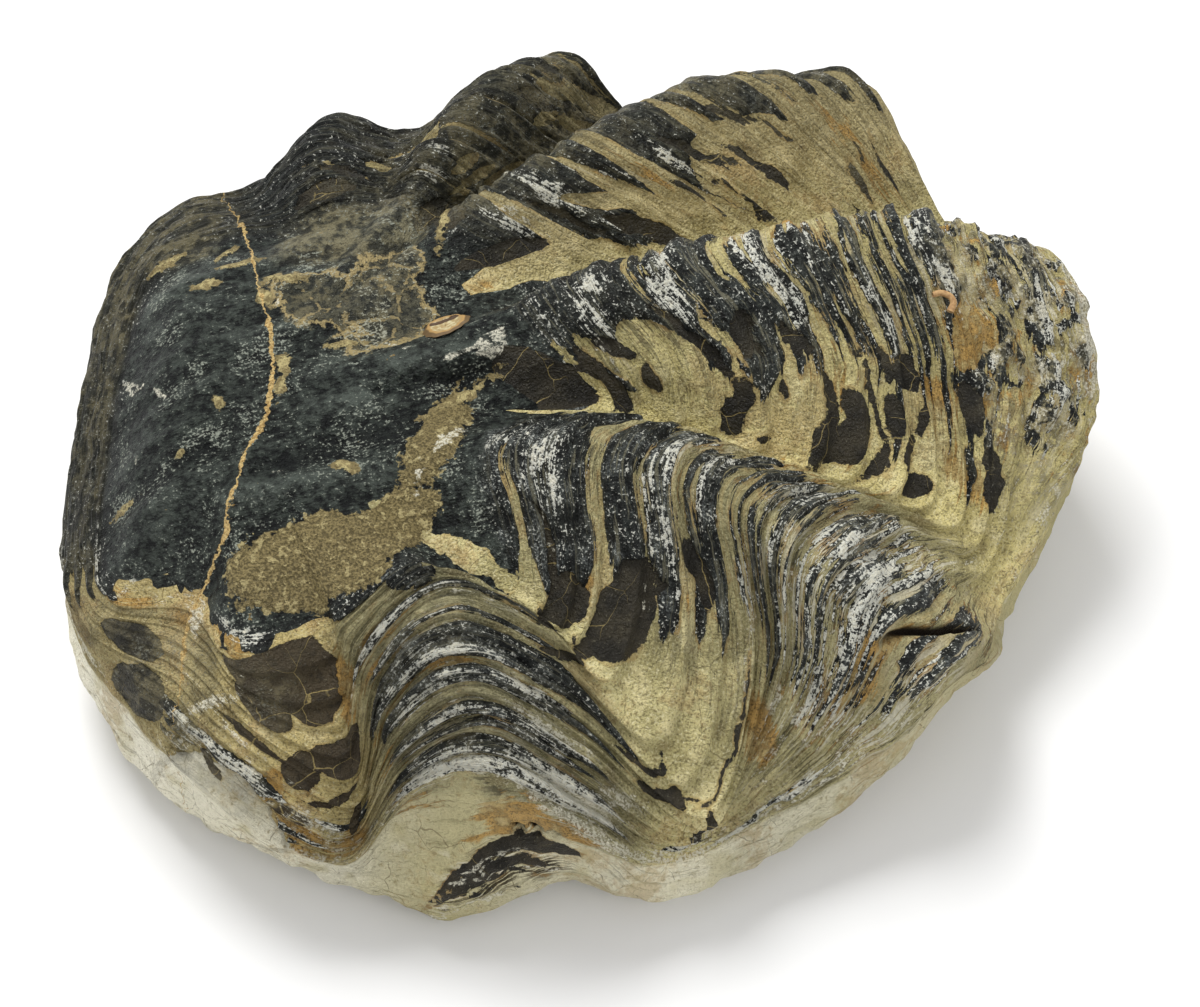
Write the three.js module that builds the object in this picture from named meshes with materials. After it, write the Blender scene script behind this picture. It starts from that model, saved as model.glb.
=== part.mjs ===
// A fossil oyster lying on its flat, worn underside: a thick shell of stacked growth sheets, thrown
// into radiating folds, over the limestone matrix that fills and carries it. It is one solid.
// Millimetres, +Z up, the resting face on z = 0 and the origin at the middle of the footprint.
import * as THREE from 'three';

// The beak, where the shell began to grow, in the middle of a smooth disc.
const BEAK = [-67, -13, 66];
const DISC_FLATNESS = 2.6; // the power by which the disc's height runs out to the first folded sheet

// The fold lines, anticlockwise from the ridge that points along +X. Each one crosses five growth
// stages, from the first folded sheet to the shell's margin.
const FOLD_LINES = {
  'east ridge': [[-10, 6, 74], [13, 13, 77], [46, 26, 72], [66, 32, 66], [98, 33, 50]],
  'east furrow': [[-5, 19, 60], [23, 34, 50], [53, 46, 41], [68, 54, 35], [78, 60, 30]],
  'north-east ridge': [[-27, 29, 67], [-10, 43, 68], [13, 61, 66], [33, 75, 60], [58, 86, 48]],
  'north-east furrow': [[-29, 37, 59], [-14, 51, 51], [-1, 67, 43], [8, 78, 37], [14, 87, 32]],
  'north ridge': [[-35, 41, 63], [-30, 52, 65], [-23, 65, 64], [-16, 79, 58], [-5, 93, 47]],
  'north furrow': [[-41, 42, 59], [-40, 50, 55], [-39, 60, 50], [-38, 70, 44], [-37, 81, 36]],
  'hinge ridge': [[-51, 41, 60], [-53, 48, 60], [-55, 57, 57], [-56, 67, 52], [-54, 77, 45]],
  'hinge furrow': [[-63, 36, 58], [-65, 42, 55], [-67, 48, 51], [-69, 54, 47], [-70, 61, 41]],
  'hinge shoulder': [[-77, 31, 59], [-80, 37, 56], [-82, 43, 52], [-84, 48, 48], [-86, 54, 42]],
  'west shoulder': [[-88, 19, 57], [-91, 23, 54], [-93, 26, 50], [-96, 29, 46], [-98, 33, 40]],
  'west edge': [[-92, -15, 52], [-95, -13, 49], [-97, -12, 46], [-100, -10, 42], [-102, -8, 36]],
  'west corner': [[-91, -43, 45], [-94, -43, 42], [-97, -43, 38], [-99, -41, 34], [-101, -38, 27]],
  'south-west ridge': [[-74, -49, 50], [-75, -55, 47], [-77, -60, 42], [-79, -64, 36], [-81, -67, 29]],
  'south-west slope': [[-64, -62, 52], [-60, -71, 46], [-60, -76, 41], [-61, -80, 33], [-62, -83, 24]],
  'south-west furrow': [[-49, -58, 54], [-45, -73, 41], [-43, -80, 31], [-44, -84, 25], [-45, -88, 20]],
  'south ridge west flank': [[-44, -57, 59], [-41, -64, 56], [-36, -69, 51], [-34, -76, 43], [-33, -81, 34]],
  'south ridge': [[-32, -50, 64], [-26, -54, 65], [-22, -65, 61], [-19, -73, 53], [-18, -81, 43]],
  'south ridge east flank': [[-21, -52, 60], [-8, -57, 56], [-2, -69, 46], [1, -79, 37], [3, -88, 27]],
  'south furrow': [[-11, -53, 57], [1, -61, 51], [22, -81, 30], [21, -83, 24], [19, -85, 18]],
  'south-east ridge west flank': [[-12, -44, 62], [6, -46, 59], [30, -55, 47], [39, -61, 39], [55, -67, 24]],
  'south-east ridge': [[-16, -28, 70], [5, -29, 70], [26, -36, 66], [43, -44, 58], [70, -57, 35]],
  'south-east ridge east flank': [[-8, -18, 66], [13, -17, 63], [37, -23, 56], [58, -28, 47], [79, -47, 28]],
  'south-east furrow': [[4, -11, 62], [28, -15, 55], [58, -18, 45], [77, -22, 34], [83, -32, 22]],
  'east ridge flank': [[-2, -4, 70], [27, -4, 67], [58, 3, 58], [75, 4, 52], [103, 5, 36]],
};

// The shell's sheets end in ledges, each stepping down onto the next younger sheet. A ledge is given
// by where it ends, as a share of the way from the first folded sheet to the margin.
const LEDGE_ENDS = [0.07, 0.16, 0.22, 0.31, 0.4, 0.46, 0.55, 0.62, 0.71, 0.79, 0.87, 1];
const LEDGE_HEIGHT = 18; // a ledge's height, in mm per whole share of its width
const LEDGE_SCARP = 0.16; // share of a ledge's width taken by its step
const OPEN_LENGTH = 50; // fold lines shorter than this have lower ledges, crowded together
const ROWS_ON_DISC = 6; // mesh rows between the beak and the first ledge

// Below the margin the matrix bulges out to its widest point, its foot, and then curves in to a
// flat resting face. The foot is stated where it stands out from under the shell.
const FEET = {
  'west corner': [-103, -33, 12],
  'south-west ridge': [-88, -60, 9],
  'south-west slope': [-73, -74, 8],
  'south-west furrow': [-50, -84, 8],
  'south ridge west flank': [-38, -88, 8],
  'south ridge': [-25, -93, 8],
  'south ridge east flank': [-5, -86, 8],
  'south furrow': [15, -89, 8],
  'south-east ridge west flank': [48, -72, 9],
  'south-east ridge': [71, -48, 13],
  'south-east ridge east flank': [81, -39, 14],
  'south-east furrow': [85, -26, 12],
};
const FOOT_INSET = 0.04; // how far in any other foot lies, as a share of the margin's distance
const FOOT_HEIGHT = 0.4; // its height, as a share of the margin's
const REST_INSET = 9; // from the foot in to the resting face, beyond the foot's own height
const LUMP_HEIGHT = 0.7; // the matrix's low lumps
const LUMP_LENGTH = 5;
const ROWS_ON_SIDE = 5;
const COLUMNS_PER_FOLD_LINE = 5;

const vector = ([x, y, z]) => new THREE.Vector3(x, y, z);
const beak = vector(BEAK);
const restCentre = new THREE.Vector3(0, 0, 0);
const closedLine = (points) => new THREE.CatmullRomCurve3(points, true, 'catmullrom');

// The folded shell: a fold line runs through its stages, and a growth line is the shell's closed,
// zigzag edge at one stage, 0 at the first folded sheet and 1 at the margin.
const foldCurves = Object.values(FOLD_LINES).map((stages) =>
  new THREE.CatmullRomCurve3(stages.map(vector), false, 'catmullrom'));
const growthLine = (growth) => closedLine(foldCurves.map((curve) => curve.getPoint(growth)));

// The smooth disc inside the first folded sheet: a low dome on which the folds die out.
const discLine = (share) => closedLine(Object.values(FOLD_LINES).map(([firstStage]) => {
  const edge = vector(firstStage);
  const point = beak.clone().lerp(edge, share);
  point.z = beak.z + (edge.z - beak.z) * share ** DISC_FLATNESS;
  return point;
}));

// The side of the matrix below each fold line: margin, foot, edge of the resting face.
const sideCurves = Object.entries(FOLD_LINES).map(([name, stages]) => {
  const margin = vector(stages[stages.length - 1]);
  const plainFoot = [margin.x * (1 - FOOT_INSET), margin.y * (1 - FOOT_INSET), margin.z * FOOT_HEIGHT];
  const foot = vector(FEET[name] ?? plainFoot);
  const inset = 1 - (REST_INSET + foot.z) / Math.hypot(foot.x, foot.y);
  const restEdge = new THREE.Vector3(foot.x * inset, foot.y * inset, 0);
  return new THREE.CatmullRomCurve3([margin, foot, restEdge], false, 'catmullrom');
});
const sideLine = (share) => closedLine(sideCurves.map((curve) => curve.getPoint(share)));

// The matrix's surface rises and falls in lumps, which fade out at the margin and the resting face.
const lumpAt = ({ x, y, z }, share) => LUMP_HEIGHT * Math.sin(Math.PI * share)
  * (Math.sin(x / LUMP_LENGTH) + Math.sin(y / LUMP_LENGTH) + Math.sin(z / LUMP_LENGTH));

// How open the ledges are where a column crosses them: 1 where the fold line below it is long.
const openness = foldCurves.map((curve) => Math.min(1, curve.getLength() / OPEN_LENGTH) ** 2);
function opennessAt(turn) {
  const place = turn * openness.length;
  const before = Math.floor(place);
  const after = (before + 1) % openness.length;
  return openness[before] + (openness[after] - openness[before]) * (place - before);
}

// The mesh rows, from the beak out and down to the resting face. A row is a closed line and how far
// the surface stands out from it, at a point and a share of the way round.
function meshRows() {
  const rows = [];
  for (let i = 1; i < ROWS_ON_DISC; i++) rows.push({ line: discLine(i / ROWS_ON_DISC), lift: () => 0 });
  let start = 0;
  let startHeight = 0;
  for (const end of LEDGE_ENDS) {
    const width = end - start;
    const endHeight = LEDGE_HEIGHT * width / 2;
    const foot = startHeight;
    rows.push({ line: growthLine(start), lift: (point, turn) => foot * opennessAt(turn) });
    const crest = end - LEDGE_SCARP * width;
    rows.push({ line: growthLine(crest), lift: (point, turn) => endHeight * opennessAt(turn) });
    start = end;
    startHeight = -endHeight;
  }
  for (let i = 0; i <= ROWS_ON_SIDE; i++) {
    const share = i / ROWS_ON_SIDE;
    rows.push({ line: sideLine(share), lift: (point) => lumpAt(point, share) });
  }
  return rows;
}

// One closed surface over the rows: a fan at the beak, a fan under the resting face.
function oysterGeometry() {
  const columns = foldCurves.length * COLUMNS_PER_FOLD_LINE;
  const rows = meshRows();
  const points = [beak];
  for (const { line } of rows)
    for (let c = 0; c < columns; c++) points.push(line.getPoint(c / columns));
  points.push(restCentre);

  const at = (row, column) => 1 + row * columns + (column % columns);
  const faces = [];
  for (let c = 0; c < columns; c++) {
    faces.push(0, at(0, c), at(0, c + 1));
    for (let r = 0; r + 1 < rows.length; r++) {
      const [a, b, d, e] = [at(r, c), at(r + 1, c), at(r + 1, c + 1), at(r, c + 1)];
      faces.push(a, b, d, a, d, e);
    }
    faces.push(at(rows.length - 1, c), points.length - 1, at(rows.length - 1, c + 1));
  }
  const geometry = new THREE.BufferGeometry().setFromPoints(points).setIndex(faces);

  geometry.computeVertexNormals();
  const { position, normal } = geometry.attributes;
  rows.forEach(({ lift }, r) => {
    for (let c = 0; c < columns; c++) {
      const i = at(r, c);
      const outward = new THREE.Vector3().fromBufferAttribute(normal, i);
      const point = points[i].clone().addScaledVector(outward, lift(points[i], c / columns));
      position.setXYZ(i, point.x, point.y, Math.max(point.z, 0));
    }
  });
  geometry.computeVertexNormals();
  return geometry;
}

const shellStone = new THREE.MeshStandardMaterial({ color: 0x4a4a42, roughness: 0.55, metalness: 0 });
const oyster = new THREE.Mesh(oysterGeometry(), shellStone);
oyster.name = 'fossil_oyster';

export default new THREE.Group().add(oyster);
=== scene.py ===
"""A fossil oyster on a pale floor: a thick folded shell, turned to stone, that lies on its underside."""

import itertools
import math

import bpy
import numpy as np
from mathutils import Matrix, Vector


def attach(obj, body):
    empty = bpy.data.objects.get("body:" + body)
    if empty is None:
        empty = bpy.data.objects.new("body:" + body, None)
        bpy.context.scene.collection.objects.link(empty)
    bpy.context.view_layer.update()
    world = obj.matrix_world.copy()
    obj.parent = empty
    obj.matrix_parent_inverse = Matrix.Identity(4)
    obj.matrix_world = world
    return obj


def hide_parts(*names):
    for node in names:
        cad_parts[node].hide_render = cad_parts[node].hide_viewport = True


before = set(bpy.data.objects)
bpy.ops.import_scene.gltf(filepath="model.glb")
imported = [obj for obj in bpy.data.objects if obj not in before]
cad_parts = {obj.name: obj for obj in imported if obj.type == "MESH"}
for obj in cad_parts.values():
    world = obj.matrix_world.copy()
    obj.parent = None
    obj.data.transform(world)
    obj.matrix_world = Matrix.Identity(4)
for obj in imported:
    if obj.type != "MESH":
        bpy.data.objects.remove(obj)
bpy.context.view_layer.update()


# ---- Floor, light and camera -----------------------------------------------------------------------
# A plain pale studio table, lit by a broad soft light high behind, a weaker one in front and a white
# room all round. Nothing here is part of the fossil.

FLOOR_HALF_SIDE = 4.0
FLOOR_COLOUR = (0.86, 0.86, 0.86, 1)
FLOOR_ROUGHNESS = 0.9
ROOM_COLOUR = (1.0, 1.0, 1.0, 1)
ROOM_STRENGTH = 0.62
LIGHT_TARGET = (0, 0, 0.03)


def matte(name, colour, roughness):
    """A plain material in one colour."""
    material = bpy.data.materials.new(name)
    material.use_nodes = True
    surface = material.node_tree.nodes["Principled BSDF"]
    surface.inputs["Base Color"].default_value = colour
    surface.inputs["Roughness"].default_value = roughness
    return material


def new_mesh(name, points, faces, marks):
    """A mesh with a value at each of its points for each of the marks."""
    mesh = bpy.data.meshes.new(name)
    mesh.from_pydata(points, [], faces)
    for mark_name, values in marks.items():
        spots = mesh.attributes.new(mark_name, "FLOAT", "POINT").data
        spots.foreach_set("value", values.ravel().astype(np.float32))
    return mesh


def new_piece(name, mesh, material):
    """A smooth-shaded piece in the scene."""
    mesh.shade_smooth()
    mesh.materials.append(material)
    piece = bpy.data.objects.new(name, mesh)
    bpy.context.collection.objects.link(piece)
    return piece


floor_signs = ((-1, -1), (1, -1), (1, 1), (-1, 1))
floor_corners = [(x * FLOOR_HALF_SIDE, y * FLOOR_HALF_SIDE, 0) for x, y in floor_signs]
floor_mesh = new_mesh("floor", floor_corners, [(0, 1, 2, 3)], {})
floor = new_piece("floor", floor_mesh, matte("pale_floor", FLOOR_COLOUR, FLOOR_ROUGHNESS))

room = bpy.data.worlds.new("white_room")
room.use_nodes = True
room_light = room.node_tree.nodes["Background"]
room_light.inputs["Color"].default_value = ROOM_COLOUR
room_light.inputs["Strength"].default_value = ROOM_STRENGTH
bpy.context.scene.world = room


def soft_light(name, place, side, power):
    """A square soft box that shines from a place towards the fossil."""
    box = bpy.data.lights.new(name, "AREA")
    box.shape = "SQUARE"
    box.size = side
    box.energy = power
    lamp = bpy.data.objects.new(name, box)
    lamp.location = place
    lamp.rotation_euler = (Vector(LIGHT_TARGET) - Vector(place)).to_track_quat("-Z", "Y").to_euler()
    bpy.context.collection.objects.link(lamp)


soft_light("main_soft_box", place=(-0.3, 0.55, 1.05), side=0.55, power=13.0)
soft_light("front_soft_box", place=(0.5, -0.7, 0.8), side=0.6, power=2.6)

MM = 0.001
CAMERA_TARGET = Vector((3, -17.5, 38)) * MM
CAMERA_DISTANCE = 594.06 * MM
CAMERA_ELEVATION = math.radians(55)
CAMERA_LENS = 90

camera = bpy.data.objects.new("camera", bpy.data.cameras.new("camera"))
camera.data.lens = CAMERA_LENS
camera_back = Vector((0, -math.cos(CAMERA_ELEVATION), math.sin(CAMERA_ELEVATION)))
camera.location = CAMERA_TARGET + camera_back * CAMERA_DISTANCE
camera.rotation_euler = (-camera_back).to_track_quat("-Z", "Y").to_euler()
bpy.context.collection.objects.link(camera)
bpy.context.scene.camera = camera
bpy.context.scene.view_settings.view_transform = "Standard"


# ---- The fossil's form -----------------------------------------------------------------------------
# The oyster laid down sheet over sheet, each a little wider than the last, and threw its edge into
# folds. A fold line runs from the smooth disc out to the margin, along the crest of a ridge, the floor
# of a furrow or the flank between them. Millimetres, anticlockwise from the east, in five stages.

BEAK = (-67, -13, 66)
DISC_FLATNESS = 2.6  # the power by which the disc's height runs out to the first folded sheet

FOLD_LINES = {
    "east ridge": [(-10, 6, 74), (13, 13, 77), (46, 26, 72), (66, 32, 66), (98, 33, 50)],
    "east furrow": [(-5, 19, 60), (23, 34, 50), (53, 46, 41), (68, 54, 35), (78, 60, 30)],
    "north-east ridge": [(-27, 29, 67), (-10, 43, 68), (13, 61, 66), (33, 75, 60), (58, 86, 48)],
    "north-east furrow": [(-29, 37, 59), (-14, 51, 51), (-1, 67, 43), (8, 78, 37), (14, 87, 32)],
    "north ridge": [(-35, 41, 63), (-30, 52, 65), (-23, 65, 64), (-16, 79, 58), (-5, 93, 47)],
    "north furrow": [(-41, 42, 59), (-40, 50, 55), (-39, 60, 50), (-38, 70, 44), (-37, 81, 36)],
    "hinge ridge": [(-51, 41, 60), (-53, 48, 60), (-55, 57, 57), (-56, 67, 52), (-54, 77, 45)],
    "hinge furrow": [(-63, 36, 58), (-65, 42, 55), (-67, 48, 51), (-69, 54, 47), (-70, 61, 41)],
    "hinge shoulder": [(-77, 31, 59), (-80, 37, 56), (-82, 43, 52), (-84, 48, 48), (-86, 54, 42)],
    "west shoulder": [(-88, 19, 57), (-91, 23, 54), (-93, 26, 50), (-96, 29, 46), (-98, 33, 40)],
    "west edge": [(-92, -15, 52), (-95, -13, 49), (-97, -12, 46), (-100, -10, 42), (-102, -8, 36)],
    "west corner": [(-91, -43, 45), (-94, -43, 42), (-97, -43, 38), (-99, -41, 34), (-101, -38, 27)],
    "south-west ridge": [(-74, -49, 50), (-75, -55, 47), (-77, -60, 42), (-79, -64, 36), (-81, -67, 29)],
    "south-west slope": [(-64, -62, 52), (-60, -71, 46), (-60, -76, 41), (-61, -80, 33), (-62, -83, 24)],
    "south-west furrow": [(-49, -58, 54), (-45, -73, 41), (-43, -80, 31), (-44, -84, 25), (-45, -88, 20)],
    "south ridge west flank": [
        (-44, -57, 59), (-41, -64, 56), (-36, -69, 51), (-34, -76, 43), (-33, -81, 34),
    ],
    "south ridge": [(-32, -50, 64), (-26, -54, 65), (-22, -65, 61), (-19, -73, 53), (-18, -81, 43)],
    "south ridge east flank": [(-21, -52, 60), (-8, -57, 56), (-2, -69, 46), (1, -79, 37), (3, -88, 27)],
    "south furrow": [(-11, -53, 57), (1, -61, 51), (22, -81, 30), (21, -83, 24), (19, -85, 18)],
    "south-east ridge west flank": [
        (-12, -44, 62), (6, -46, 59), (30, -55, 47), (39, -61, 39), (55, -67, 24),
    ],
    "south-east ridge": [(-16, -28, 70), (5, -29, 70), (26, -36, 66), (43, -44, 58), (70, -57, 35)],
    "south-east ridge east flank": [
        (-8, -18, 66), (13, -17, 63), (37, -23, 56), (58, -28, 47), (79, -47, 28),
    ],
    "south-east furrow": [(4, -11, 62), (28, -15, 55), (58, -18, 45), (77, -22, 34), (83, -32, 22)],
    "east ridge flank": [(-2, -4, 70), (27, -4, 67), (58, 3, 58), (75, 4, 52), (103, 5, 36)],
}
FOLDS = list(FOLD_LINES)

# The foot is the lowest, widest part of the side below the margin. Where it isn't given here, it stands
# a little inside the margin.
FEET = {
    "west corner": (-103, -33, 12),
    "south-west ridge": (-88, -60, 9),
    "south-west slope": (-73, -74, 8),
    "south-west furrow": (-50, -84, 8),
    "south ridge west flank": (-38, -88, 8),
    "south ridge": (-25, -93, 8),
    "south ridge east flank": (-5, -86, 8),
    "south furrow": (15, -89, 8),
    "south-east ridge west flank": (48, -72, 9),
    "south-east ridge": (71, -48, 13),
    "south-east ridge east flank": (81, -39, 14),
    "south-east furrow": (85, -26, 12),
}
FOOT_INSET = 0.04
FOOT_HEIGHT = 0.4  # as a share of the margin's height
REST_INSET = 9  # from the foot in to the resting face, beyond the foot's own height

COLUMNS = 720
DISC_ROWS = 60
FOLD_ROWS = 270
SIDE_ROWS = 44
BASE_ROWS = 6


def spline_weights(step):
    """How much each of four points counts at a spot that is a share past the second of them."""
    return np.stack([
        -step + 2 * step**2 - step**3,
        2 - 5 * step**2 + 3 * step**3,
        step + 4 * step**2 - 3 * step**3,
        -step**2 + step**3,
    ]) / 2


def along_curve(points, shares):
    """A smooth open curve through the points of the first axis, at each share of its way."""
    padded = np.concatenate([[2 * points[0] - points[1]], points, [2 * points[-1] - points[-2]]])
    place = shares * (len(points) - 1)
    start = np.minimum(place.astype(int), len(points) - 2)
    weights = spline_weights(place - start)
    return sum(weights[k][:, None, None] * padded[start + k] for k in range(4))


def around_ring(points, turns):
    """A smooth closed curve through the points of the second axis, at each turn counted in points."""
    start = np.floor(turns).astype(int)
    weights = spline_weights(turns - start)
    count = points.shape[1]
    return sum(weights[k][None, :, None] * points[:, (start + k - 1) % count] for k in range(4))


stages = np.array([FOLD_LINES[name] for name in FOLDS], float).transpose(1, 0, 2)
margin = stages[-1]
plain_feet = margin * (1 - FOOT_INSET, 1 - FOOT_INSET, FOOT_HEIGHT)
feet = np.array([FEET.get(name, plain) for name, plain in zip(FOLDS, plain_feet)])
rest_share = 1 - (REST_INSET + feet[:, 2]) / np.hypot(feet[:, 0], feet[:, 1])
rest_edge = feet * rest_share[:, None] * (1, 1, 0)
side_stages = np.stack([margin, feet, rest_edge])

disc_shares = np.arange(1, DISC_ROWS) / DISC_ROWS
fold_shares = np.arange(FOLD_ROWS) / FOLD_ROWS
side_shares = np.arange(SIDE_ROWS + 1) / SIDE_ROWS
base_shares = 1 - np.arange(1, BASE_ROWS) / BASE_ROWS
turns = np.arange(COLUMNS) * len(FOLDS) / COLUMNS

beak = np.array(BEAK, float)
disc_rows = beak + (stages[0] - beak) * disc_shares[:, None, None]
disc_rows[..., 2] = beak[2] + (stages[0, :, 2] - beak[2]) * disc_shares[:, None] ** DISC_FLATNESS
fold_rows = along_curve(stages, fold_shares)
side_rows = along_curve(side_stages, side_shares)
base_rows = rest_edge * base_shares[:, None, None]
smooth_form = around_ring(np.concatenate([disc_rows, fold_rows, side_rows, base_rows]), turns)


def row_values(*parts):
    """One value for each row, from those of the disc, the folds, the side and the base."""
    shares = (disc_shares, fold_shares, side_shares, base_shares)
    return np.concatenate([np.broadcast_to(part, len(rows)) for part, rows in zip(parts, shares)])[:, None]


# Where each row lies: growth runs from -1 at the beak to 0 at the first folded sheet and 1 at the
# margin, and the side's share from 0 at the margin to 1 at the edge of the resting face.
growth = row_values(disc_shares - 1, fold_shares, 1.0, 1.0)
side = row_values(0.0, 0.0, side_shares, 1.0)
on_base = row_values(False, False, False, True)
here_shape = smooth_form.shape[:2]

LATTICE_SIZE = 32


def lumps(size, seed, points=smooth_form):
    """A smooth random value from -1 to 1 at each point, in lumps of the size given."""
    lattice = np.random.default_rng(seed).uniform(-1, 1, (LATTICE_SIZE,) * 3)
    scaled = points / size
    cell = np.floor(scaled).astype(int)
    step = scaled - cell
    step = step * step * (3 - 2 * step)
    total = np.zeros(points.shape[:-1])
    for corner in itertools.product((0, 1), repeat=3):
        weight = np.prod(np.where(corner, step, 1 - step), axis=-1)
        x, y, z = np.moveaxis((cell + corner) % LATTICE_SIZE, -1, 0)
        total += weight * lattice[x, y, z]
    return total


def clouds(size, seed, octaves=3):
    """Cloudy random values from about -1 to 1, with spots of the size given and finer ones in them."""
    return sum(lumps(size / 2**k, seed + 100 * k) / 1.7**k for k in range(octaves)) / 1.4


def ramp(values, low, high):
    """0 below low, 1 above high and a smooth rise between them."""
    share = np.clip((values - low) / (high - low), 0, 1)
    return share * share * (3 - 2 * share)


# ---- The growth layers -----------------------------------------------------------------------------
# Dark calcite sheets of shell lie between pale sheets of limy mud that hardened to olive limestone.
# Each ridge has its own run of dark sheets, given as spans in thousandths of growth. They thin out down
# the flanks.

LAYERS = {
    "south": [
        (-1300, 20), (235, 290), (360, 392), (420, 545), (580, 655), (730, 785), (797, 830), (860, 930),
        (940, 1000),
    ],
    "south_east": [
        (-1300, 7), (14, 205), (232, 302), (317, 378), (401, 425), (437, 478), (517, 528), (536, 548),
        (564, 583), (592, 618), (637, 668), (690, 697), (728, 742), (750, 765), (775, 790), (802, 812),
        (820, 830), (838, 850), (857, 867), (885, 892), (930, 937), (955, 965),
    ],
    "east": [
        (-1300, 200), (207, 225), (234, 262), (270, 341), (353, 375), (380, 408), (430, 438), (448, 460),
        (472, 482), (492, 504), (526, 562), (588, 600), (612, 628), (640, 662), (680, 712), (740, 800),
        (820, 832), (860, 876), (900, 935), (960, 972),
    ],
    "north": [
        (-1300, 110), (140, 290), (320, 360), (390, 520), (560, 600), (630, 740), (770, 800), (830, 880),
        (910, 940), (970, 990),
    ],
}
DEPTH_LIMIT = 0.05  # depths inside and outside the dark are kept within this, in shares of growth


def depth_points(layers):
    """Growths and depths inside the dark, at the middle of each sheet and each gap between the sheets."""
    edges = [edge / 1000 for edge in itertools.chain(*layers)]
    edges = [edges[0] - 2 * DEPTH_LIMIT, *edges, edges[-1] + 2 * DEPTH_LIMIT]
    points = []
    for k, (start, end) in enumerate(zip(edges, edges[1:])):
        depth = min((end - start) / 2, DEPTH_LIMIT)
        signed = depth if k % 2 else -depth
        points += sorted({(start + depth, signed), (end - depth, signed)})
    return points


# How much farther on in growth the layers are than the growth line at the margin.
LAYER_DRIFT = {"south-east ridge east flank": 0.01, "south-east furrow": 0.09, "south ridge east flank": 0.08}

# At each fold line, in this order: how much mud hides the layers and how strongly they split into thin
# laminae, both in shares of growth; how grey the limestone between them is; how pale that of the side
# is; how far brown-grey weathering hides the bands. Sheets thinner than twice the mud are gone.
FOLD_TRAITS = {
    "east ridge": (0.0015, 0.07, 0, 0, 0),
    "east furrow": (0.03, 0.02, 0.3, 0, 0),
    "north-east ridge": (0, 0.03, 0.7, 0, 0.6),
    "north-east furrow": (-0.02, 0.03, 0, 0, 0.9),
    "north ridge": (-0.01, 0.04, 0.4, 0, 0.45),
    "north furrow": (-0.02, 0.03, 0.3, 0, 0.35),
    "hinge ridge": (-0.04, 0.03, 0.8, 0, 0.05),
    "hinge furrow": (-0.04, 0.02, 0.8, 0, 0.15),
    "hinge shoulder": (-0.03, 0.02, 0, 0.5, 0.75),
    "west shoulder": (-0.04, 0.02, 0, 0.7, 0.7),
    "west edge": (-0.09, 0.02, 0, 0.8, 0.45),
    "west corner": (0.05, 0.006, 0.4, 1, 0.4),
    "south-west ridge": (0.08, 0.006, 0.3, 1, 0.5),
    "south-west slope": (0.06, 0.008, 0.1, 0.8, 0.25),
    "south-west furrow": (0.1, 0.025, 0, 0.8, 0),
    "south ridge west flank": (0.004, 0.05, 0.8, 0.35, 0.15),
    "south ridge": (0, 0.04, 1, 0.15, 0.2),
    "south ridge east flank": (0.01, 0.035, 0.7, 0.55, 0.15),
    "south furrow": (0.07, 0.004, 0.5, 0.75, 0),
    "south-east ridge west flank": (0.006, 0.05, 0.6, 0.5, 0),
    "south-east ridge": (-0.003, 0.065, 0.8, 0.2, 0),
    "south-east ridge east flank": (0, 0.065, 0.7, 0.2, 0),
    "south-east furrow": (0.07, 0.008, 0, 0.1, 0),
    "east ridge flank": (0.0015, 0.055, 0, 0, 0),
}
LAMINA_GROWTH = 0.022
LAMINA_LENGTH = 11
REGION_EDGES = {"south": (14.6, 17.9), "south_east": (17.9, 22.1), "east": (22.1, 25.3)}
REGION_FADE = 0.5

reach = growth + side


def around_folds(values):
    """Values at the fold lines, run smoothly round the shell."""
    return around_ring(np.array(values)[None, :, None], turns)[..., 0]


def turns_past(place):
    """How far past a place round the shell each column is, from half way round back to half way on."""
    half = len(FOLDS) / 2
    return (turns - place + half) % len(FOLDS) - half


def region_weight(*edges):
    """1 between two places round the shell, with a fade at both."""
    first, last = (ramp(turns_past(edge), -REGION_FADE / 2, REGION_FADE / 2) for edge in edges)
    return (first * (1 - last))[None, :]


mud_cover, splitting, grey_mud, paleness, weathering_share = (
    around_folds(values) for values in zip(*(FOLD_TRAITS[name] for name in FOLDS))
)
drift = around_folds([LAYER_DRIFT.get(name, 0.0) for name in FOLDS])
regions = {name: region_weight(*edges) for name, edges in REGION_EDGES.items()}
regions["north"] = 1 - sum(regions.values())

wobble = 0.008 * lumps(13, 1) + 0.0035 * lumps(4.5, 2)
layer_growth = growth + drift * np.clip(growth, 0, 1) + wobble * ramp(growth, -0.2, 0.1)


def drawn_out(length, growth_step, seed):
    """A smooth random value from -1 to 1 in streaks along the growth lines."""
    x, y = smooth_form[..., 0] / length, smooth_form[..., 1] / length
    return lumps(1.0, seed, np.stack([x, y, (layer_growth + side) / growth_step + 50], axis=-1))


mud_ripple = lumps(9, 3)
outer = ramp(growth, 0.68, 0.8)
laminae = splitting * (1 + 0.7 * outer * (1 - regions["east"])) * ramp(growth, -0.1, 0.04)
lamina = drawn_out(LAMINA_LENGTH, LAMINA_GROWTH, 4) + 0.6 * drawn_out(5, LAMINA_GROWTH / 2, 5)
mud = mud_cover + 0.006 * mud_ripple
broken_edge = growth + 0.11 * clouds(6, 61, 4) * region_weight(11.0, 13.6)
mud = (mud - 0.12 * laminae * lamina) * ramp(broken_edge, -0.12, 0.02) + 0.5 * ramp(side, 0, 0.15)
thin_bands = ramp(growth, 0.36, 0.44) * region_weight(21.9, 22.9) * (1 - ramp(growth, 0.7, 0.76))
mud += (0.0035 + 0.003 * mud_ripple - mud) * 0.8 * thin_bands
layer_depth = sum(
    weight * np.interp(layer_growth, *zip(*depth_points(LAYERS[name]))) for name, weight in regions.items()
)


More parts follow.
